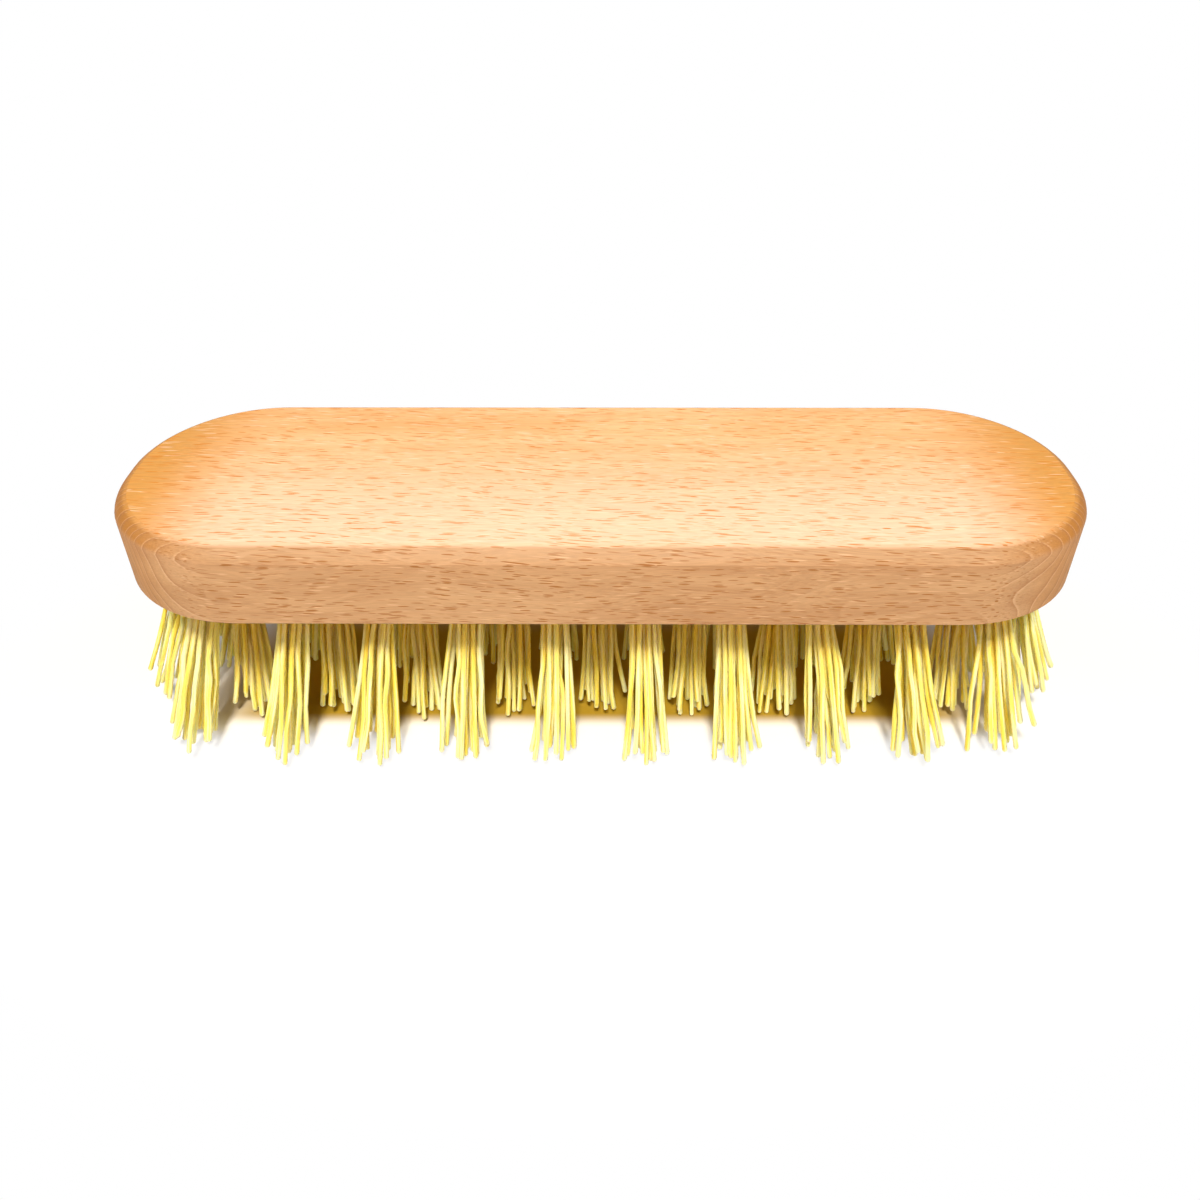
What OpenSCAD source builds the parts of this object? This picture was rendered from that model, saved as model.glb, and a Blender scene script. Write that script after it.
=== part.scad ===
// Hand scrub brush: a rounded beech block with three rows of stapled bristle tufts.
// Sizes are in millimetres. X runs along the block and Z is up.
// The brush stands on its bristle tips, and the origin is on that surface, under the middle.

/* [Block] */
// Length of the wooden block
block_length = 150; // [130:1:180]
// Width of the block
block_width = 46; // [42:1:60]
// Thickness of the block
block_thickness = 13.2; // [12.6:0.1:20]
// Straight part of each end, between its two rounded corners
end_flat = 3; // [1:0.5:12]
// How far the rounding of the top edge reaches, across and down
top_rounding = 2.3; // [1:0.1:3.5]
// Radius of the arc of that rounding, which leaves a faint crease on each side
top_arc_radius = 3.3; // [2.6:0.1:8]
// Width of the eased bottom edge
bottom_ease = 0.4; // [0.2:0.1:1]

/* [Tuft holes] */
// Diameter of the blind hole for each tuft
hole_d = 4.6; // [4.4:0.1:5.6]
// Depth of the hole along its own axis
hole_depth = 8.5; // [7:0.5:9]
// Tufts in the front row, and in the back row
outer_tufts = 10; // [6:1:12]
// Tufts in the middle row, without the two at its ends
middle_tufts = 9; // [5:1:11]
// From the side of the block to the axis of the nearest row
row_inset = 12; // [8:0.5:14]
// From the end of the block to the last tuft of the front and back rows
outer_inset = 13.4; // [12:0.2:20]
// From the end of the block to the last upright tuft of the middle row
middle_inset = 15.4; // [15:0.1:20]
// From the end of the block to the leaning tuft at its end
end_inset = 7.5; // [6:0.1:8]
// How far the last tufts of the front and back rows are drawn in towards the middle row
draw_in = 2.6; // [0:0.1:3]

/* [Lean of the tufts, in degrees] */
// Outward lean of the last tufts of the front and back rows
outer_lean = 16; // [0:0.5:18]
// Outward lean of the last upright tufts of the middle row
middle_lean = 6.5; // [0:0.5:8]
// Outward lean of the tufts at the two ends
end_lean = 18; // [8:0.5:20]
// Lean of the front and back rows away from the middle row
side_lean = 3; // [0:0.5:8]

/* [Bristles] */
// Length of the tufts below the block, which is also the block's height above the surface
bristle_length = 38; // [20:1:45]
// Thickness of one bristle
bristle_d = 0.85; // [0.6:0.05:0.9]
// Bristles in the middle of a tuft
inner_bristles = 3; // [2:1:3]
// Bristles in the ring round them
outer_bristles = 8; // [6:1:9]
// Width over the tips of one tuft
tip_spread = 7.8; // [5:0.1:9]
// How much shorter the shortest bristles of a tuft are than its longest
length_spread = 2.2; // [0:0.1:3]
// How far a tuft's own bend moves it aside halfway down
tuft_bend = 0.7; // [0:0.1:1]
// How far each bristle bends away from its straight line
bristle_bend = 0.15; // [0:0.05:0.15]

/* [Staples] */
// Width over the legs of a staple
staple_width = 3.4; // [3:0.1:3.8]
// Thickness of the staple wire
wire_t = 0.6; // [0.4:0.1:0.8]
// Length of the staple legs in the wood past the bottom of the hole
staple_grip = 2.2; // [1:0.1:2.4]
// Thickness of folded bristle between the staple and the bottom of the hole
fold_depth = 1.6; // [1:0.1:2.5]

/* [Hidden] */
$fn = 48;
// Clearance between a tuft's root and the wall of its hole
root_clearance = 0.1;
// Clearance round a staple, in the wood and in the tuft
staple_clearance = 0.05;
// How far the root of a tuft stays inside the mouth of its hole
root_recess = 0.5;
// How far each bristle runs on inside the root
bristle_sink = 0.8;
// Gap from the outer ring of bristles to the side of the root
ring_margin = 0.02;
// Flat sides of a root, which is a bundle pressed into the hole and not turned round
root_sides = 8;
// Radius of the inner ring of bristles, as a share of the outer ring's
inner_share = 0.42;
// How deep the longest tips are cut off flat where the brush stands
tip_cut = 0.5;
// How far a cutter runs on past the face that it opens
overrun = 4;

half_length = block_length / 2;
half_width = block_width / 2;
corner_radius = half_width - end_flat / 2;
straight_length = block_length - 2 * corner_radius;
underside = bristle_length;
root_d = hole_d - 2 * root_clearance;
root_ring = root_d / 2 * cos(180 / root_sides) - bristle_d / 2 - ring_margin;
tip_ring = tip_spread / 2 - bristle_d / 2;
crown_z = hole_depth - fold_depth - wire_t;
leg_top = hole_depth + staple_grip;

// Places in a tuft seen from its tips, as shares of the outer ring's radius
function ring(count, share) = [
    for (m = [0:count - 1])
        let (a = 360 * m / count)
        [cos(a), sin(a)] * share
];
spots = concat(ring(inner_bristles, inner_share), ring(outer_bristles, 1));

// Each tuft: name, x, y, turn about X, turn about Y, seed, and side for the mirrored end pair
function evenly(i, n, reach) = n < 2 ? 0 : -reach + 2 * reach * i / (n - 1);
outer_reach = half_length - outer_inset;
middle_reach = half_length - middle_inset;
end_reach = half_length - end_inset;
row_y = half_width - row_inset;

function outer_row(name, side, seed) = [
    for (i = [0:outer_tufts - 1])
        let (
            x = evenly(i, outer_tufts, outer_reach),
            y = row_y - (i == 0 || i == outer_tufts - 1 ? draw_in : 0)
        )
        [str(name, i + 1), x, side * y, side * side_lean, -outer_lean * x / outer_reach, seed + i, 0]
];

function middle_row(name, seed) = [
    for (i = [0:middle_tufts - 1])
        let (x = evenly(i, middle_tufts, middle_reach))
        [str(name, i + 1), x, 0, 0, -middle_lean * x / middle_reach, seed + i, 0]
];

TUFTS = concat(
    outer_row("tuft_front_", -1, 11),
    middle_row("tuft_middle_", 41),
    outer_row("tuft_back_", 1, 71),
    [
        ["tuft_end_left", -end_reach, 0, 0, end_lean, 101, -1],
        ["tuft_end_right", end_reach, 0, 0, -end_lean, 101, 1]
    ]
);

// Block

module edge_outline(reach) {
    // From the block's corner to the arc's centre, across and down
    centre = top_rounding / 2 + sqrt(top_arc_radius * top_arc_radius / 2 - top_rounding * top_rounding / 4);
    polygon([
        [0, 0],
        [reach - bottom_ease, 0],
        [reach, bottom_ease],
        [reach, block_thickness - top_rounding],
        [reach - top_rounding, block_thickness],
        [0, block_thickness]
    ]);
    intersection() {
        translate([reach - top_rounding, block_thickness - top_rounding]) square(top_rounding);
        translate([reach - centre, block_thickness - centre]) circle(r = top_arc_radius);
    }
}

module blank() {
    rotate([90, 0, 90])
        linear_extrude(straight_length, center = true)
            for (s = [0, 1]) mirror([s, 0]) edge_outline(half_width);
    for (s = [0, 180]) rotate([0, 0, s]) {
        translate([straight_length / 2, 0, 0])
            rotate([90, 0, 0])
                linear_extrude(end_flat, center = true) edge_outline(corner_radius);
        translate([straight_length / 2, end_flat / 2, 0])
            rotate_extrude(angle = 90) edge_outline(corner_radius);
        translate([straight_length / 2, -end_flat / 2, 0])
            rotate([0, 0, -90])
                rotate_extrude(angle = 90) edge_outline(corner_radius);
    }
}

// Puts a piece drawn at the mouth of a hole, with Z into the wood, where tuft t is
module seat(t) {
    translate([t[1], t[2], underside]) rotate([t[3], t[4], 0]) children();
}

// A staple, or with grow the slot that it leaves
module staple(grow = 0) {
    out = staple_width / 2 + grow;
    in = staple_width / 2 - wire_t - grow;
    rotate([90, 0, 0])
        linear_extrude(wire_t + 2 * grow, center = true)
            polygon([
                [-out, crown_z - grow],
                [out, crown_z - grow],
                [out, leg_top + grow],
                [in, leg_top + grow],
                [in, crown_z + wire_t + grow],
                [-in, crown_z + wire_t + grow],
                [-in, leg_top + grow],
                [-out, leg_top + grow]
            ]);
}

module block() {
    color("burlywood")
        difference() {
            translate([0, 0, underside]) blank();
            for (t = TUFTS) seat(t) {
                translate([0, 0, -overrun]) cylinder(d = hole_d, h = overrun + hole_depth);
                staple(staple_clearance);
            }
        }
}

module staples() {
    color("silver")
        for (t = TUFTS) seat(t) staple();
}

// Bristles

function about_x(p, a) = [p.x, p.y * cos(a) - p.z * sin(a), p.y * sin(a) + p.z * cos(a)];
function about_y(p, a) = [p.x * cos(a) + p.z * sin(a), p.y, p.z * cos(a) - p.x * sin(a)];
function seated(t, p) = [t[1], t[2], underside] + about_y(about_x(p, t[3]), t[4]);

// The middle line of bristle j of tuft t: in the root, part of the way down, and at its tip
function bristle_line(t, j) =
    let (
        own = rands(-1, 1, 6, t[5] * 50 + j),
        shared = t[6] == 0 ? rands(-1, 1, 4, t[5]) : [0, 0, 0, 0],
        hand = t[6] < 0 ? -1 : 1,
        spot = [hand * spots[j].x, spots[j].y, 0],
        root = seated(t, spot * root_ring + [0, 0, root_recess + bristle_sink]),
        aim = seated(t, [0, 0, -bristle_length]) + spot * tip_ring
            + [hand * own[0], own[1], 0] * bristle_bend
            + [shared[0], shared[1], 0] * tuft_bend,
        short = (own[2] + 1) / 2 * (length_spread + tip_cut) - tip_cut,
        tip = [aim.x, aim.y, max(0, aim.z + short)],
        down = 0.5 + 0.12 * own[3],
        bend = [hand * own[4], own[5], 0] * bristle_bend
            + [shared[2], shared[3], 0] * tuft_bend / 2
    )
    [root, root * (1 - down) + tip * down + bend, tip];

module bristle(t, j) {
    line = bristle_line(t, j);
    turn = rands(0, 120, 1, t[5] * 70 + j)[0];
    last = len(line) - 1;
    polyhedron(
        points = [for (p = line) for (m = [0:2])
            p + [cos(turn + 120 * m), sin(turn + 120 * m), 0] * bristle_d / 2],
        faces = concat(
            [[2, 1, 0], [3 * last, 3 * last + 1, 3 * last + 2]],
            [for (k = [0:last - 1]) for (m = [0:2])
                [3 * k + m, 3 * k + (m + 1) % 3, 3 * k + m + 3]],
            [for (k = [0:last - 1]) for (m = [0:2])
                [3 * k + (m + 1) % 3, 3 * k + (m + 1) % 3 + 3, 3 * k + m + 3]]
        )
    );
}

module tuft(t) {
    color("khaki") {
        seat(t) difference() {
            translate([0, 0, root_recess])
                cylinder(d = root_d, h = hole_depth - root_recess, $fn = root_sides);
            staple(staple_clearance);
        }
        for (j = [0:len(spots) - 1]) bristle(t, j);
    }
}

block();
staples();
for (t = TUFTS) tuft(t);
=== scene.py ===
"""Hand scrub brush: a beech block with bristle tufts, dressed for rendering. Lengths are in metres."""
import math

import bpy
import numpy as np
from mathutils import Matrix, Vector


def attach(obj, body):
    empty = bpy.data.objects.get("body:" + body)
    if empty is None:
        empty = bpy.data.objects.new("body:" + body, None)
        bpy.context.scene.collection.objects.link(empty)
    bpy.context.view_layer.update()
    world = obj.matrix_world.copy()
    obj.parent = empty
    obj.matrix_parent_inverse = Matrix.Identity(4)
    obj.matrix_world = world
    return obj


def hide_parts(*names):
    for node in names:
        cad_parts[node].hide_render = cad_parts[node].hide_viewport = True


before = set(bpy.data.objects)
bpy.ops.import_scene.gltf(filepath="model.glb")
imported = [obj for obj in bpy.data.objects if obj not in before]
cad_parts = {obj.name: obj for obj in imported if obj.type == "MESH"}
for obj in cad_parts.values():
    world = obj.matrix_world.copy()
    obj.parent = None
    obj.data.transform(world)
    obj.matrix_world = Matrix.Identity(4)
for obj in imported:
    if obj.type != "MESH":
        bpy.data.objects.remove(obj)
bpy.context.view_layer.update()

MM = 0.001  # one millimetre in metres

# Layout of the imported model, in millimetres and degrees
UNDERSIDE = 38.0
HOLE_R = 2.3
OUTER_TUFTS = 10
MIDDLE_TUFTS = 9
OUTER_REACH = 61.6
MIDDLE_REACH = 59.6
END_REACH = 67.5
ROW_Y = 11.0
DRAW_IN = 2.6
OUTER_LEAN = 16.0
MIDDLE_LEAN = 6.5
END_LEAN = 18.0
SIDE_LEAN = 3.0
TIP_SPREAD = 7.8


# ---------------------------------------------------------------- materials

class Nodes:
    """Short names for the shader nodes of one material or world."""

    def __init__(self, owner):
        self.owner = owner
        owner.use_nodes = True
        self.tree = owner.node_tree
        self.tree.nodes.clear()

    def add(self, kind, **settings):
        node = self.tree.nodes.new(kind)
        for key, value in settings.items():
            setattr(node, key, value)
        return node

    def put(self, value, socket):
        if isinstance(value, bpy.types.NodeSocket):
            self.tree.links.new(value, socket)
        else:
            socket.default_value = value

    def math(self, operation, a, b=0.0):
        node = self.add("ShaderNodeMath", operation=operation)
        for value, socket in zip((a, b), node.inputs):
            self.put(value, socket)
        return node.outputs[0]

    def plus(self, a, b):
        return self.math("ADD", a, b)

    def times(self, a, b):
        return self.math("MULTIPLY", a, b)

    def vector(self, operation, a, b=(0, 0, 0)):
        node = self.add("ShaderNodeVectorMath", operation=operation)
        self.put(a, node.inputs[0])
        self.put(b, node.inputs["Scale" if operation == "SCALE" else 1])
        return node.outputs["Value" if operation == "LENGTH" else "Vector"]

    def split(self, vector):
        node = self.add("ShaderNodeSeparateXYZ")
        self.put(vector, node.inputs[0])
        return node.outputs

    def join(self, x, y, z):
        node = self.add("ShaderNodeCombineXYZ")
        for value, socket in zip((x, y, z), node.inputs):
            self.put(value, socket)
        return node.outputs[0]

    def place(self):
        """The place on the object in millimetres, and the way its surface faces."""
        coords = self.add("ShaderNodeTexCoord")
        return self.vector("SCALE", coords.outputs["Object"], 1 / MM), coords.outputs["Normal"]

    def noise(self, vector, detail, rough=0.5):
        node = self.add("ShaderNodeTexNoise")
        self.put(vector, node.inputs["Vector"])
        node.inputs["Scale"].default_value = 1.0
        node.inputs["Detail"].default_value = detail
        node.inputs["Roughness"].default_value = rough
        return node.outputs

    def cells(self, vector):
        node = self.add("ShaderNodeTexVoronoi")
        self.put(vector, node.inputs["Vector"])
        node.inputs["Scale"].default_value = 1.0
        return node.outputs

    def ramp(self, value, low, high, out_low=0.0, out_high=1.0):
        node = self.add("ShaderNodeMapRange", interpolation_type="SMOOTHSTEP")
        self.put(value, node.inputs[0])
        for number, socket in zip((low, high, out_low, out_high), node.inputs[1:5]):
            socket.default_value = number
        return node.outputs[0]

    def mix(self, factor, a, b, blend="MIX"):
        node = self.add("ShaderNodeMix", data_type="RGBA", blend_type=blend)
        self.put(factor, node.inputs["Factor"])
        for value, socket in zip((a, b), (node.inputs[6], node.inputs[7])):
            self.put(value if isinstance(value, bpy.types.NodeSocket) else (*value, 1.0), socket)
        return node.outputs[2]

    def bump(self, height, distance, strength=1.0):
        node = self.add("ShaderNodeBump")
        node.inputs["Strength"].default_value = strength
        node.inputs["Distance"].default_value = distance
        self.put(height, node.inputs["Height"])
        return node.outputs[0]

    def shader(self, **inputs):
        node = self.add("ShaderNodeBsdfPrincipled")
        for key, value in inputs.items():
            if isinstance(value, tuple) and len(value) == 3 and "Radius" not in key:
                value = (*value, 1.0)
            self.put(value, node.inputs[key.replace("_", " ")])
        self.put(node.outputs[0], self.add("ShaderNodeOutputMaterial").inputs[0])
        return self.owner

    def seen(self):
        """1 where the surface or sky is looked at, also in a reflection, and 0 where it only sends light."""
        path = self.add("ShaderNodeLightPath")
        looked = self.math("MAXIMUM", path.outputs["Is Camera Ray"], path.outputs["Is Glossy Ray"])
        return self.math("MAXIMUM", looked, path.outputs["Is Transmission Ray"])

    def blend(self, factor, a, b, output):
        """Ends the tree with a mix of two shaders."""
        mixed = self.add("ShaderNodeMixShader")
        for value, socket in zip((factor, a.outputs[0], b.outputs[0]), mixed.inputs):
            self.put(value, socket)
        self.put(mixed.outputs[0], self.add(output).inputs[0])


# Colours in linear light. Of the wood's pairs, the first three are for its darker and lighter patches,
# and the others for its sides and its top. The sides and the rounded edge are painted darker than the top
# throughout, as painted shade of light that falls from above.
WOOD_TOP_LIT = (0.85, 0.415, 0.158), (0.93, 0.502, 0.225)
WOOD_SIDE_SHADED = (0.440, 0.228, 0.104), (0.520, 0.292, 0.142)
WOOD_EDGE_SHADED = (0.450, 0.245, 0.113), (0.500, 0.280, 0.138)
WOOD_ENDS = (0.42, 0.165, 0.030), (0.67, 0.305, 0.068)
WOOD_FLECK = (0.31, 0.115, 0.030), (0.64, 0.205, 0.022)
WOOD_CREAM = (0.66, 0.40, 0.22), (1.0, 0.72, 0.50)
# Painted reflection, which lightens the top towards its front edge
WOOD_PAINTED_GLARE = (0.975, 0.60, 0.405)
WOOD_END_GRAIN = (0.56, 0.245, 0.070)
WOOD_CREASE_SHADE = (0.42, 0.19, 0.08)
WOOD_LATE = (0.34, 0.145, 0.055)
WOOD_EARLY = (0.85, 0.56, 0.33)
WOOD_PORE = (0.45, 0.21, 0.085)
YELLOW = (0.99, 0.78, 0.12), (1.0, 0.92, 0.33)
# Painted highlight in cream and painted shade in gold, for streaks along the bristles
PAINTED_CREAM_HIGHLIGHT = (1.0, 0.97, 0.60)
PAINTED_GOLDEN_SHADE = (0.95, 0.64, 0.05)
# Painted shade in amber, for the bristles near the block
PAINTED_AMBER_SHADE = (0.79, 0.405, 0.010)
TIP = (0.98, 0.93, 0.72)
STEEL = (0.74, 0.74, 0.73), (0.60, 0.58, 0.54)
# Painted shadow, golden, on the floor under the brush
FLOOR_PAINTED_SHADOW = (0.40, 0.24, 0.020), (0.55, 0.30, 0.020)
FLOOR_PALE = (1.0, 0.955, 0.88)
FLOOR_BOUNCE = (0.72, 0.68, 0.56)
SKY = (1.0, 0.96, 0.88)
WHITE = (1.0, 1.0, 1.0)

# Millimetres from one growth ring to the next, and how far a ring rises for each millimetre across
RING_WIDTH = 1.45
RING_RISE = 4.6
# Room for one fleck: along the grain, and across it both ways
STRONG_FLECK = (5.8, 0.48, 0.48)
THIRD_FLECK = (4.9, 0.42, 0.42)
WEAK_FLECK = (4.0, 0.36, 0.36)


def beech():
    n = Nodes(bpy.data.materials.new("beech"))
    place, facing = n.place()
    x, y, z = n.split(place)
    facing = n.split(facing)

    # The grain wanders a little, so the flecks tilt in places
    wander = n.noise(n.vector("MULTIPLY", place, (0.035, 0.07, 0.07)), 1.0)
    drift = n.vector("SCALE", n.vector("SUBTRACT", wander["Color"], (0.5, 0.5, 0.5)), 7.0)
    grain = n.vector("ADD", place, n.vector("MULTIPLY", drift, (0.0, 1.0, 1.0)))
    _, grain_y, grain_z = n.split(grain)

    # Growth rings, which stand nearly upright in the block's cross-section
    steep = n.math("SUBTRACT", grain_y, n.math("DIVIDE", grain_z, RING_RISE))
    waver = n.noise(n.vector("MULTIPLY", grain, (0.012, 0.13, 0.05)), 2.0)[0]
    age = n.plus(n.math("DIVIDE", steep, RING_WIDTH), n.times(waver, 2.2))
    year = n.math("FRACT", age)
    late = n.times(n.math("POWER", year, 5.0), n.ramp(year, 0.965, 1.0, 1.0, 0.0))
    early = n.ramp(year, 0.02, 0.16, 1.0, 0.0)

    # How much of the surface is top, rounded edge, side and end grain
    top = n.ramp(facing[2], 0.82, 0.995)
    side = n.ramp(n.math("ABSOLUTE", facing[2]), 0.55, 0.15)
    turned = n.math("ABSOLUTE", facing[0])
    end = n.ramp(turned, 0.30, 0.85)
    corner = n.ramp(turned, 0.04, 0.40)

    # Flecks: short dark dashes along the grain, with pale streaks beside some of them
    swing = n.noise(n.vector("MULTIPLY", place, (0.045, 0.05, 0.05)), 0.0)
    # Each face's flecks tilt within the face, as dashes that dived under it would show as dots
    swing = n.vector("SUBTRACT", swing["Color"], (0.5, 0.5, 0.5))
    within = n.join(0.0, n.times(top, 3.4), n.times(side, 1.7))
    swing = n.vector("MULTIPLY", swing, within)
    # Neighbouring flecks start at chance places along the grain, and all slant a little
    start = n.noise(n.vector("MULTIPLY", place, (0.0, 1.3, 1.3)), 1.0)[0]
    slant = n.join(n.times(start, 9.0), n.times(x, 0.065), n.times(x, 0.030))
    lines = n.vector("ADD", n.vector("ADD", place, swing), slant)

    def dashes(size, inner, outer, shift=(0.0, 0.0, 0.0)):
        """One dash in each cell of about this size, some strong and some faint."""
        found = n.cells(n.vector("ADD", n.vector("DIVIDE", lines, size), shift))
        spot = n.ramp(found["Distance"], inner, outer, 1.0, 0.0)
        chance = n.split(found["Color"])
        return n.times(spot, n.ramp(chance[0], 0.05, 0.6, 0.25, 1.0))

    strong = dashes(STRONG_FLECK, 0.18, 0.25)
    weak = dashes(WEAK_FLECK, 0.17, 0.29, (11.3, 4.7, 8.1))
    third = dashes(THIRD_FLECK, 0.17, 0.25, (-21.7, 31.9, 17.3))
    strong = n.math("MAXIMUM", strong, third)
    pale = dashes(STRONG_FLECK, 0.12, 0.30, (0.05, -0.36, -0.36))
    # Where the block turns towards its ends the grain is cut across, and the flecks go
    fade = n.ramp(turned, 0.12, 0.50, 1.0, 0.08)
    strong = n.times(strong, fade)
    weak = n.times(weak, fade)
    pale = n.times(pale, fade)

    # Colour: broad patches, fine fibres, rings, then flecks
    patches = n.noise(n.vector("MULTIPLY", grain, (0.020, 0.26, 0.26)), 3.0, 0.6)[0]
    fibres = n.noise(n.vector("MULTIPLY", grain, (0.16, 5.5, 5.5)), 3.0, 0.6)[0]
    pores = n.noise(n.vector("MULTIPLY", place, (7.0, 7.0, 7.0)), 2.0, 0.6)[0]

    patches = n.ramp(patches, 0.32, 0.68)
    # Painted reflection: the top is painted lighter towards its front edge
    light = n.mix(n.ramp(y, 16.0, -18.0, 0.0, 0.78), n.mix(patches, *WOOD_TOP_LIT), WOOD_PAINTED_GLARE)
    # Painted shade: the side and the rounded edge are darker than the lit top
    shaded_sides = n.mix(side, n.mix(patches, *WOOD_EDGE_SHADED), n.mix(patches, *WOOD_SIDE_SHADED))
    colour = n.mix(top, shaded_sides, light)
    colour = n.mix(n.times(end, 0.68), colour, WOOD_END_GRAIN)
    # The top and its rounded edge are darker towards the ends, and the side right under that edge has
    # painted shade
    far = n.ramp(n.math("ABSOLUTE", x), 52.0, 71.0)
    far = n.times(far, n.math("SUBTRACT", 1.0, side))
    colour = n.mix(far, colour, n.mix(top, *WOOD_ENDS))
    crease_shade = n.times(n.ramp(z, 46.0, 49.0, 0.0, 0.30), side)
    colour = n.mix(crease_shade, colour, WOOD_CREASE_SHADE)
    rings = n.times(late, n.plus(0.15, n.times(corner, 0.60)))
    colour = n.mix(rings, colour, WOOD_LATE)
    bright = n.times(early, n.plus(0.04, n.times(corner, 0.16)))
    colour = n.mix(bright, colour, WOOD_EARLY)
    fine = n.ramp(fibres, 0.3, 0.7, 0.90, 1.06)
    colour = n.mix(1.0, colour, n.join(fine, fine, fine), "MULTIPLY")
    dots = n.times(n.ramp(pores, 0.56, 0.66), n.times(end, 0.35))
    colour = n.mix(dots, colour, WOOD_PORE)
    # The fleck and streak colours are darker off the top too, as painted shade
    fleck = n.mix(top, *WOOD_FLECK)
    cream = n.mix(top, *WOOD_CREAM)
    colour = n.mix(n.times(weak, 0.62), colour, fleck)
    colour = n.mix(n.times(pale, 0.55), colour, cream)
    colour = n.mix(strong, colour, fleck)

    # Surface: sealed and sanded, with the flecks and the fibres just felt
    height = n.plus(n.times(fibres, 0.5), n.times(strong, -0.6))
    height = n.math("SUBTRACT", height, n.times(weak, 0.25))
    height = n.math("SUBTRACT", height, n.times(dots, 0.3))
    gloss = n.plus(n.ramp(fibres, 0.25, 0.75, 0.54, 0.66), n.times(strong, 0.10))
    return n.shader(
        Base_Color=colour,
        Roughness=gloss,
        Normal=n.bump(height, 0.00003, 0.7),
        Specular_IOR_Level=0.14,
    )


def bristle():
    n = Nodes(bpy.data.materials.new("bristle"))
    # Each bristle's own tone, the share of its length from the block, and how much painted shade it has
    tone = n.add("ShaderNodeAttribute", attribute_name="tone").outputs["Fac"]
    along = n.add("ShaderNodeAttribute", attribute_name="along").outputs["Fac"]
    painted_shade = n.add("ShaderNodeAttribute", attribute_name="painted_shade").outputs["Fac"]
    place, facing = n.place()
    # Painted highlights in cream and painted shade in gold, as streaks that run along each bristle on chance
    # sides of it
    facing = n.split(facing)
    turned = n.plus(n.times(facing[0], 0.8), n.times(tone, 47.0))
    spot = n.join(turned, n.times(facing[1], 0.8), n.times(along, 3.0))
    highlight_shade_streak = n.noise(spot, 1.0)[0]
    speck = n.noise(n.vector("MULTIPLY", place, (5.0, 5.0, 0.6)), 2.0)[0]

    colour = n.mix(tone, *YELLOW)
    colour = n.mix(n.ramp(highlight_shade_streak, 0.47, 0.63, 0.0, 0.62), colour, PAINTED_CREAM_HIGHLIGHT)
    colour = n.mix(n.ramp(highlight_shade_streak, 0.33, 0.47, 0.60, 0.0), colour, PAINTED_GOLDEN_SHADE)
    # Painted shade: amber near the block, fading down each bristle
    colour = n.mix(n.times(painted_shade, 0.96), colour, PAINTED_AMBER_SHADE)
    colour = n.mix(n.ramp(along, 0.965, 1.0, 0.0, 0.55), colour, TIP)
    return n.shader(
        Base_Color=colour,
        Roughness=n.ramp(speck, 0.3, 0.7, 0.24, 0.32),
        Normal=n.bump(speck, 0.000004, 0.2),
        Subsurface_Weight=0.25,
        Subsurface_Radius=(1.0, 0.75, 0.10),
        Subsurface_Scale=0.001,
        Specular_IOR_Level=0.14,
    )


def staple_wire():
    n = Nodes(bpy.data.materials.new("staple_wire"))
    place, _ = n.place()
    drawn = n.noise(n.vector("MULTIPLY", place, (1.2, 18.0, 1.2)), 3.0)[0]
    dull = n.noise(n.vector("MULTIPLY", place, (0.9, 0.9, 0.9)), 2.0)[0]
    return n.shader(
        Base_Color=n.mix(n.ramp(dull, 0.35, 0.7), *STEEL),
        Metallic=1.0,
        Roughness=n.ramp(drawn, 0.3, 0.7, 0.22, 0.42),
        Normal=n.bump(drawn, 0.00001, 0.5),
    )


BEECH = beech()
BRISTLE = bristle()
STAPLE_WIRE = staple_wire()


# ---------------------------------------------------------------- CAD nodes that stay

def smooth_by_angle(obj, degrees):
    """Welds the facets and shades them smooth, except across edges sharper than the angle."""
    tree = bpy.data.node_groups.new("smooth_" + obj.name, "GeometryNodeTree")
    tree.interface.new_socket("Geometry", in_out="INPUT", socket_type="NodeSocketGeometry")
    tree.interface.new_socket("Geometry", in_out="OUTPUT", socket_type="NodeSocketGeometry")
    start = tree.nodes.new("NodeGroupInput")
    weld = tree.nodes.new("GeometryNodeMergeByDistance")
    weld.inputs["Distance"].default_value = 1e-6
    smooth = tree.nodes.new("GeometryNodeSetShadeSmooth")
    sharp = tree.nodes.new("GeometryNodeSetShadeSmooth")
    sharp.domain = "EDGE"
    sharp.inputs["Shade Smooth"].default_value = False
    angle = tree.nodes.new("GeometryNodeInputMeshEdgeAngle")
    over = tree.nodes.new("FunctionNodeCompare")
    over.operation = "GREATER_THAN"
    over.inputs[1].default_value = math.radians(degrees)
    end = tree.nodes.new("NodeGroupOutput")
    link = tree.links.new
    link(start.outputs[0], weld.inputs["Geometry"])
    link(weld.outputs[0], smooth.inputs["Geometry"])
    link(smooth.outputs[0], sharp.inputs["Geometry"])
    link(angle.outputs["Unsigned Angle"], over.inputs[0])
    link(over.outputs[0], sharp.inputs["Selection"])
    link(sharp.outputs[0], end.inputs[0])
    modifier = obj.modifiers.new("smooth", "NODES")
    modifier.node_group = tree


def dress(obj, material):
    for slot in obj.material_slots:
        slot.material = material


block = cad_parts["block"]
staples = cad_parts["staples"]
dress(block, BEECH)
dress(staples, STAPLE_WIRE)


# ---------------------------------------------------------------- bristles

# Lengths are in millimetres, shares are of a bristle's length below the block, and each pair of numbers
# after the words "by chance" is the lowest and the highest
SIDES = 7
BRISTLE_R = 0.44
# Levels of a bristle in its hole, and how many there are from the block to the tip
ROOT_SHARES = (-0.165, -0.10, -0.04)
FREE_LEVELS = 17
MOUTH_SHARE = 0.02
# How far the outermost bristles keep from the wall of the hole: as they start, and when pushed
ROOT_ROOM = 0.1
WALL_ROOM = 0.03
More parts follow.
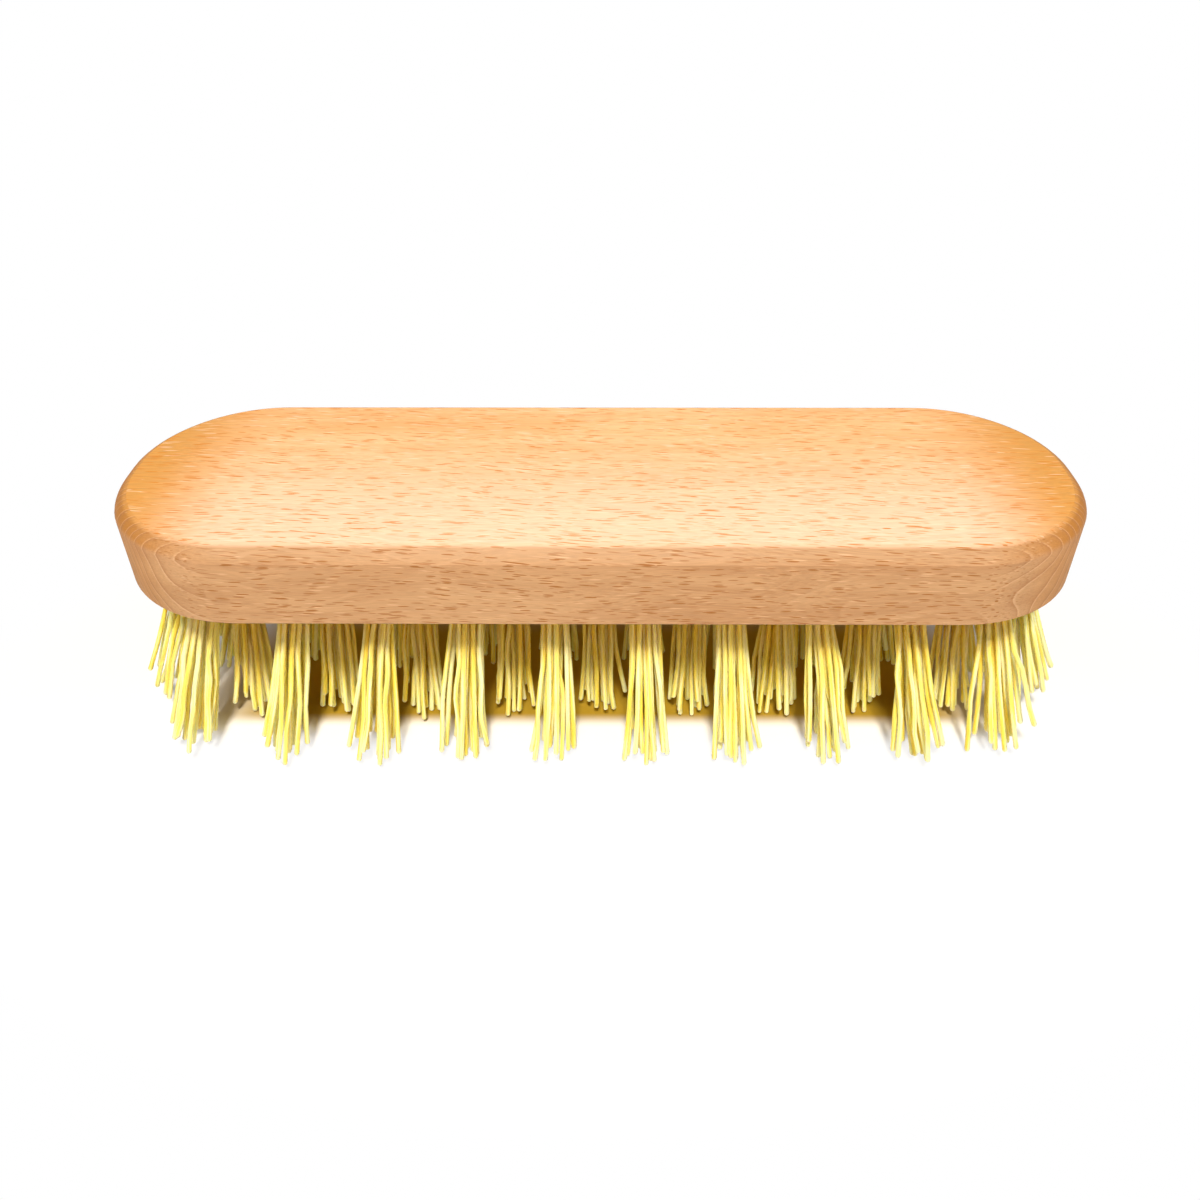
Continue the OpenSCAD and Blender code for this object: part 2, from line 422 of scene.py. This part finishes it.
# Room between neighbours, and how far from the middle of its tuft a bristle may be pushed
BRISTLE_ROOM = 0.02
MOST_RADIUS = 9.0
# Width of the fan without crimp and what full crimp adds, and how far tips are off it by chance
FAN_WIDTH = 0.82
CRIMP_WIDTH = 0.65
TIP_OFF = 0.55
# By chance: how late a bristle leaves its straight way, its thickness, and its length
FAN_POWER = (1.15, 1.8)
THICKNESS = (0.88, 1.08)
SHORTER = (-0.4, 1.0)
# How much shorter the outer bristles are, and by chance how much a few are cut shorter still
OUTER_SHORTER = 1.3
CUT_CHANCE = 0.3
CUT_SHORTER = (0.8, 3.4)
# By chance, for loose and for tight kinks: the knots along a bristle, and how far they are off
LOOSE_KNOTS = (4, 7)
TIGHT_KNOTS = (7, 10)
LOOSE_KINK = (0.15, 0.50)
TIGHT_KINK = (0.20, 0.36)
TUFT_SWAY = 0.5
# The domed tip: how far each of its rings is behind the tip and how wide it is, in bristle radii
DOME = ((0.75, 1.06), (0.28, 0.86), (0.0, 0.42))
DOME_SHARES = (0.985, 0.995, 1.0)
# The inner, middle and outer bristles of a tuft: how many, and their place as a share of its radius
CIRCLES = ((1, 0.05), (5, 0.50), (10, 1.0))
# Bristles folded over the staple: across the hole, and up from its mouth
FOLD = ((-1.15, 5.6), (-1.2, 6.6), (-0.85, 7.5), (0.0, 7.9), (0.85, 7.5), (1.2, 6.6), (1.15, 5.6))
FOLD_ASIDE = 0.5
# Rounds in which bristles that overlap move apart, and the share of the overlap that each round takes away
PART_ROUNDS = 40
PART_SHARE = 0.45

# How many of a tuft's bristles are crimped, and how far down its painted shade reaches, both as shares
CRIMP = 0.27
CORNER_CRIMP = 0.52
CORNER_TUFTS = ("tuft_front_1", "tuft_front_10", "tuft_end_left", "tuft_end_right")
SHADE_DEPTH = {"front": 0.48, "middle": 0.95, "back": 1.0, "end": 0.48}
SHADE_START = 1.15
# The tufts at the two ends don't reach the surface
END_LIFT = 2.6
# Single bristles that stand out of their tuft: the side they stand on, and how far their tip moves
STRAYS = {
    "tuft_front_10": [((-1.0, -0.3), (-3.4, -0.4))],
    "tuft_end_left": [((-1.0, -0.2), (-0.7, 0.4))],
}


def tuft_layout():
    """Each tuft: name, x, y, turn about X, turn about Y, seed."""
    def evenly(count, reach):
        return [-reach + 2 * reach * i / (count - 1) for i in range(count)]

    rows = []
    for name, side, seed in (("front", -1, 11), ("back", 1, 71)):
        for i, x in enumerate(evenly(OUTER_TUFTS, OUTER_REACH)):
            y = ROW_Y - (DRAW_IN if i in (0, OUTER_TUFTS - 1) else 0)
            lean = -OUTER_LEAN * x / OUTER_REACH
            rows.append((f"tuft_{name}_{i + 1}", x, side * y, side * SIDE_LEAN, lean, seed + i))
    for i, x in enumerate(evenly(MIDDLE_TUFTS, MIDDLE_REACH)):
        rows.append((f"tuft_middle_{i + 1}", x, 0.0, 0.0, -MIDDLE_LEAN * x / MIDDLE_REACH, 41 + i))
    rows.append(("tuft_end_left", -END_REACH, 0.0, 0.0, END_LEAN, 101))
    rows.append(("tuft_end_right", END_REACH, 0.0, 0.0, -END_LEAN, 102))
    return rows


def ring(count, radius, turn):
    angles = turn + 2 * math.pi * np.arange(count) / count
    return np.stack([np.cos(angles), np.sin(angles)], 1) * radius


def part(paths, limits):
    """Moves bristles of one tuft apart where they would overlap. paths is level, bristle, xy."""
    gap = 2 * BRISTLE_R + BRISTLE_ROOM
    for _ in range(PART_ROUNDS):
        away = paths[:, :, None, :] - paths[:, None, :, :]
        distance = np.linalg.norm(away, axis=3)
        overlap = np.where((distance > 1e-6) & (distance < gap), gap - distance, 0.0)
        push = (away / np.maximum(distance, 1e-6)[..., None] * overlap[..., None]).sum(2) * PART_SHARE
        blurred = push.copy()
        blurred[1:-1] = 0.25 * push[:-2] + 0.5 * push[1:-1] + 0.25 * push[2:]
        paths = paths + blurred
        out = np.linalg.norm(paths, axis=2)
        over = np.maximum(out / limits[:, None], 1.0)
        paths = paths / over[..., None]
    return paths


def tuft_paths(seed, crimp, lift, strays):
    """Middle lines of a tuft's bristles.

    Gives the levels as shares of the length, each bristle's sideways place at each level, how much shorter
    each bristle is than the tuft, and the random generator for what follows.
    """
    rng = np.random.default_rng(seed)
    centre, *others = CIRCLES
    spots = np.concatenate([ring(*centre, 0.0), *(ring(*circle, rng.uniform(0, 6)) for circle in others)])
    count = len(spots)
    share = np.concatenate([ROOT_SHARES, np.linspace(0.0, 1.0, FREE_LEVELS)])
    root = spots * (HOLE_R - BRISTLE_R - ROOT_ROOM)
    tip = spots * (TIP_SPREAD / 2 - BRISTLE_R) * (FAN_WIDTH + CRIMP_WIDTH * crimp)
    tip = tip + rng.normal(0, TIP_OFF, (count, 2))
    below = np.clip(share, 0, 1)
    fan = below[:, None, None]
    paths = root + (tip - root) * fan ** rng.uniform(*FAN_POWER, (1, count, 1))

    # Chance kinks along each bristle, with more of them in the few that are crimped
    tight = rng.random(count) < crimp
    reach = rng.uniform(*LOOSE_KINK, count) * (1.0 + crimp)
    for j in range(count):
        knots = rng.integers(*(TIGHT_KNOTS if tight[j] else LOOSE_KNOTS))
        size = rng.uniform(*TIGHT_KINK) if tight[j] else reach[j]
        way = rng.uniform(-1, 1, (knots, 2)) * size
        way[0] = 0.0
        where = np.linspace(0, 1, knots)
        paths[:, j] += np.stack([np.interp(below, where, way[:, axis]) for axis in (0, 1)], 1)

    # The whole tuft leans and bows a little, once its bristles are apart
    sway = rng.uniform(-TUFT_SWAY, TUFT_SWAY, (2, 2))
    bow = sway[0] * fan ** 1.5 + sway[1] * 2 * fan * (1 - fan)
    limits = np.where(share <= MOUTH_SHARE, HOLE_R - BRISTLE_R - WALL_ROOM, MOST_RADIUS)
    paths = part(paths, limits) + bow * (share[:, None, None] > 0)
    for side, push in strays:
        outermost = np.argmax(spots @ np.array(side))
        paths[:, outermost] += np.array(push) * below[:, None] ** 1.3

    # The outer bristles are shorter, as they lean out, and some are cut shorter still
    shorter = rng.uniform(*SHORTER, count) + OUTER_SHORTER * np.linalg.norm(spots, axis=1) ** 2
    shorter += lift
    shorter += np.where(rng.random(count) < CUT_CHANCE, rng.uniform(*CUT_SHORTER, count), 0.0)
    return share, paths, shorter, rng


def sweep(points, radius):
    """A round bar along the points with a domed tip at the last one: vertices and faces."""
    points = np.asarray(points, float)
    tangent = np.gradient(points, axis=0)
    tangent /= np.linalg.norm(tangent, axis=1)[:, None]
    across = np.cross(tangent, (0.0, 1.0, 0.0))
    across /= np.linalg.norm(across, axis=1)[:, None]
    beside = np.cross(tangent, across)
    tip, way = points[-1], tangent[-1]
    centres = [*points[:-1], *(tip - way * radius * behind for behind, _ in DOME)]
    rows_across = [*across, across[-1], across[-1]]
    rows_beside = [*beside, beside[-1], beside[-1]]
    radii = [radius] * (len(points) - 1) + [radius * wide for _, wide in DOME]
    angles = 2 * math.pi * np.arange(SIDES) / SIDES
    turn = np.stack([np.cos(angles), np.sin(angles)], 1)
    vertices = np.concatenate([
        c + r * (turn[:, :1] * a + turn[:, 1:] * b)
        for c, a, b, r in zip(centres, rows_across, rows_beside, radii)
    ])
    faces = []
    for k in range(len(centres) - 1):
        for m in range(SIDES):
            p, q = k * SIDES + m, k * SIDES + (m + 1) % SIDES
            faces.append((p, p + SIDES, q + SIDES, q))
    last = (len(centres) - 1) * SIDES
    faces.append(tuple(range(SIDES)))
    faces.append(tuple(reversed(range(last, last + SIDES))))
    return vertices, faces


def make_tuft(name, x, y, turn_x, turn_y, seed, crimp, painted_shade_depth, lift, strays):
    """Makes the bristles of one tuft as one piece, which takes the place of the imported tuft."""
    share, paths, shorter, rng = tuft_paths(seed, crimp, lift, strays)
    turn = Matrix.Rotation(math.radians(turn_y), 3, "Y") @ Matrix.Rotation(math.radians(turn_x), 3, "X")
    turn = np.array(turn)
    mouth = np.array([x, y, UNDERSIDE])
    vertices, faces, tone, along, painted_shade = [], [], [], [], []
    for j in range(paths.shape[1]):
        length = UNDERSIDE - max(shorter[j], 0.0)
        local = np.column_stack([paths[:, j, 0], paths[:, j, 1], -share * length])
        local[share < 0, 2] = -share[share < 0] * UNDERSIDE
        points = local @ turn.T + mouth
        points[-1, 2] += min(shorter[j], 0.0)
        points = points[np.argsort(share)]
        v, f = sweep(points, BRISTLE_R * rng.uniform(*THICKNESS))
        v[:, 2] = np.maximum(v[:, 2], 0.0)
        faces += [tuple(i + len(vertices) for i in face) for face in f]
        vertices += v.tolist()
        tone += [rng.random()] * len(v)
        rows = np.repeat(np.clip(np.concatenate([share[:-1], DOME_SHARES]), 0, 1), SIDES)
        along += rows.tolist()
        # How much painted shade each ring of the bristle has, most at the block
        painted_shade += np.clip(SHADE_START * (1 - rows / painted_shade_depth), 0, 1).tolist()

    # The bristles' middles, folded over the staple inside the hole
    for aside in (-FOLD_ASIDE, FOLD_ASIDE):
        loop = np.array([(aside, across, up) for across, up in FOLD])
        v, f = sweep_fold(loop @ turn.T + mouth, turn[:, 0])
        faces += [tuple(i + len(vertices) for i in face) for face in f]
        vertices += v.tolist()
        tone += [0.5] * len(v)
        along += [0.0] * len(v)
        painted_shade += [1.0] * len(v)

    mesh = bpy.data.meshes.new(name)
    mesh.from_pydata((np.array(vertices) * MM).tolist(), [], faces)
    mesh.shade_smooth()
    for label, values in (("tone", tone), ("along", along), ("painted_shade", painted_shade)):
        mesh.attributes.new(label, "FLOAT", "POINT").data.foreach_set("value", values)
    mesh.materials.append(BRISTLE)
    mesh.update()
    obj = bpy.data.objects.new(name + "_bristles", mesh)
    bpy.context.scene.collection.objects.link(obj)
    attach(obj, "root")
    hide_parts(name)


def sweep_fold(points, across):
    """A round bar along points that bend in the plane square to across, with flat ends."""
    tangent = np.gradient(points, axis=0)
    tangent /= np.linalg.norm(tangent, axis=1)[:, None]
    beside = np.cross(tangent, across)
    angles = 2 * math.pi * np.arange(SIDES) / SIDES
    vertices = np.concatenate([
        p + BRISTLE_R * (np.cos(angles)[:, None] * across + np.sin(angles)[:, None] * b)
        for p, b in zip(points, beside)
    ])
    faces = [
        (p, q, q + SIDES, p + SIDES)
        for k in range(len(points) - 1)
        for p, q in ((k * SIDES + m, k * SIDES + (m + 1) % SIDES) for m in range(SIDES))
    ]
    last = (len(points) - 1) * SIDES
    faces.append(tuple(reversed(range(SIDES))))
    faces.append(tuple(range(last, last + SIDES)))
    return vertices, faces


for row in tuft_layout():
    name = row[0]
    crimp = CORNER_CRIMP if name in CORNER_TUFTS else CRIMP
    painted_shade_depth = SHADE_DEPTH[name.split("_")[1]]
    lift = END_LIFT if "end" in name else 0.0
    make_tuft(*row, crimp, painted_shade_depth, lift, STRAYS.get(name, ()))

# Edges sharper than this many degrees stay sharp. The facets of the block's rounded edge meet at about 8,
# and the faint creases beside it at 18 to 20.
BLOCK_CREASE = 19.0
WIRE_CREASE = 30.0
smooth_by_angle(block, BLOCK_CREASE)
smooth_by_angle(staples, WIRE_CREASE)


# ---------------------------------------------------------------- floor, light and camera

# Half the floor's width, and how far it is below the tips that stand on it, so that no faces coincide
FLOOR_HALF = 3.0
FLOOR_DROP = 0.0001


def set_stage():
    """A floor that shows the brush's shadow round it and is the white background further out."""
    n = Nodes(bpy.data.materials.new("floor"))
    coords = n.add("ShaderNodeTexCoord")
    floor_x, floor_y, _ = n.split(coords.outputs["Object"])

    # Under the brush a golden shadow is painted, standing for light that has come through the bristles
    painted_shadow = n.times(n.ramp(floor_y, -0.0055, -0.0015), n.ramp(floor_y, 0.021, 0.040, 1.0, 0.0))
    painted_shadow = n.times(painted_shadow, n.ramp(n.math("ABSOLUTE", floor_x), 0.060, 0.080, 1.0, 0.0))
    pale = n.mix(painted_shadow, FLOOR_PALE, n.mix(n.ramp(floor_y, 0.000, 0.012), *FLOOR_PAINTED_SHADOW))
    seen = n.seen()
    matt = n.add("ShaderNodeBsdfDiffuse")
    n.put(n.mix(seen, FLOOR_BOUNCE, pale), matt.inputs["Color"])

    # Plain white away from the brush, and nearly so in front of it
    reach = n.vector("LENGTH", n.vector("MULTIPLY", coords.outputs["Object"], (0.62, 1.0, 0.0)))
    front = n.times(floor_y, -1.0)
    plain = n.math("MAXIMUM", n.ramp(reach, 0.042, 0.08), n.ramp(front, 0.004, 0.011, 0.0, 0.84))
    n.blend(n.times(seen, plain), matt, n.add("ShaderNodeEmission"), "ShaderNodeOutputMaterial")

    mesh = bpy.data.meshes.new("floor")
    corners = [(FLOOR_HALF * x, FLOOR_HALF * y, 0) for x, y in ((-1, -1), (1, -1), (1, 1), (-1, 1))]
    mesh.from_pydata(corners, [], [(0, 1, 2, 3)])
    mesh.materials.append(n.owner)
    floor = bpy.data.objects.new("floor", mesh)
    floor.location.z = -FLOOR_DROP
    bpy.context.scene.collection.objects.link(floor)


def set_world(level):
    """A sky that lights the brush softly at this level and is plain white where it is seen."""
    world = bpy.data.worlds.new("studio")
    bpy.context.scene.world = world
    n = Nodes(world)
    skies = []
    for colour, strength in ((SKY, level), (WHITE, 1.0)):
        sky = n.add("ShaderNodeBackground")
        n.put((*colour, 1.0), sky.inputs["Color"])
        n.put(strength, sky.inputs["Strength"])
        skies.append(sky)
    n.blend(n.seen(), *skies, "ShaderNodeOutputWorld")


# The middle of the block, and each light: name, place, width, and its share of the light at that middle
MIDDLE = (0.0, 0.0, 0.045)
LIGHTS = (
    ("key", (0.0, -0.300, 0.425), 0.07, 1.45),
    ("fill", (-0.6, -0.25, 0.38), 0.30, 0.12),
    ("fill", (0.6, -0.25, 0.38), 0.30, 0.12),
    ("back", (0.0, 0.80, 0.17), 0.40, 0.13),
)
SKY_LEVEL = 0.10


def add_light(name, place, size, share):
    """An area light that alone would give a surface facing it at the middle this share of its colour."""
    place, aim = Vector(place), Vector(MIDDLE)
    data = bpy.data.lights.new(name, "AREA")
    data.shape = "DISK"
    data.size = size
    data.energy = share * math.pi ** 2 * (place - aim).length_squared
    light = bpy.data.objects.new(name, data)
    light.location = place
    light.rotation_mode = "QUATERNION"
    light.rotation_quaternion = (aim - place).to_track_quat("-Z", "Y")
    bpy.context.scene.collection.objects.link(light)


# The camera that was fitted to the photograph: its place, the way it looks and its focal length
CAMERA_PLACE = (0.0011145, -0.1411192, 0.1332112)
CAMERA_RIGHT = (0.99997881, 0.00615064, -0.00213449)
CAMERA_UP = (-0.00204293, 0.60773659, 0.79413605)
FOCAL_PIXELS = 1031.298
FRAME_PIXELS = 1200.0
SENSOR_WIDTH = 36.0


def set_camera():
    right = Vector(CAMERA_RIGHT)
    up = Vector(CAMERA_UP)
    back = right.cross(up)
    data = bpy.data.cameras.new("camera")
    data.sensor_width = SENSOR_WIDTH
    data.lens = SENSOR_WIDTH * FOCAL_PIXELS / FRAME_PIXELS
    data.clip_start = 0.005
    data.clip_end = 50.0
    camera = bpy.data.objects.new("camera", data)
    turn = Matrix((right, up, back)).transposed().to_4x4()
    camera.matrix_world = Matrix.Translation(CAMERA_PLACE) @ turn
    bpy.context.scene.collection.objects.link(camera)
    bpy.context.scene.camera = camera


set_stage()
set_world(SKY_LEVEL)
for light in LIGHTS:
    add_light(*light)
set_camera()
bpy.context.scene.view_settings.view_transform = "Standard"
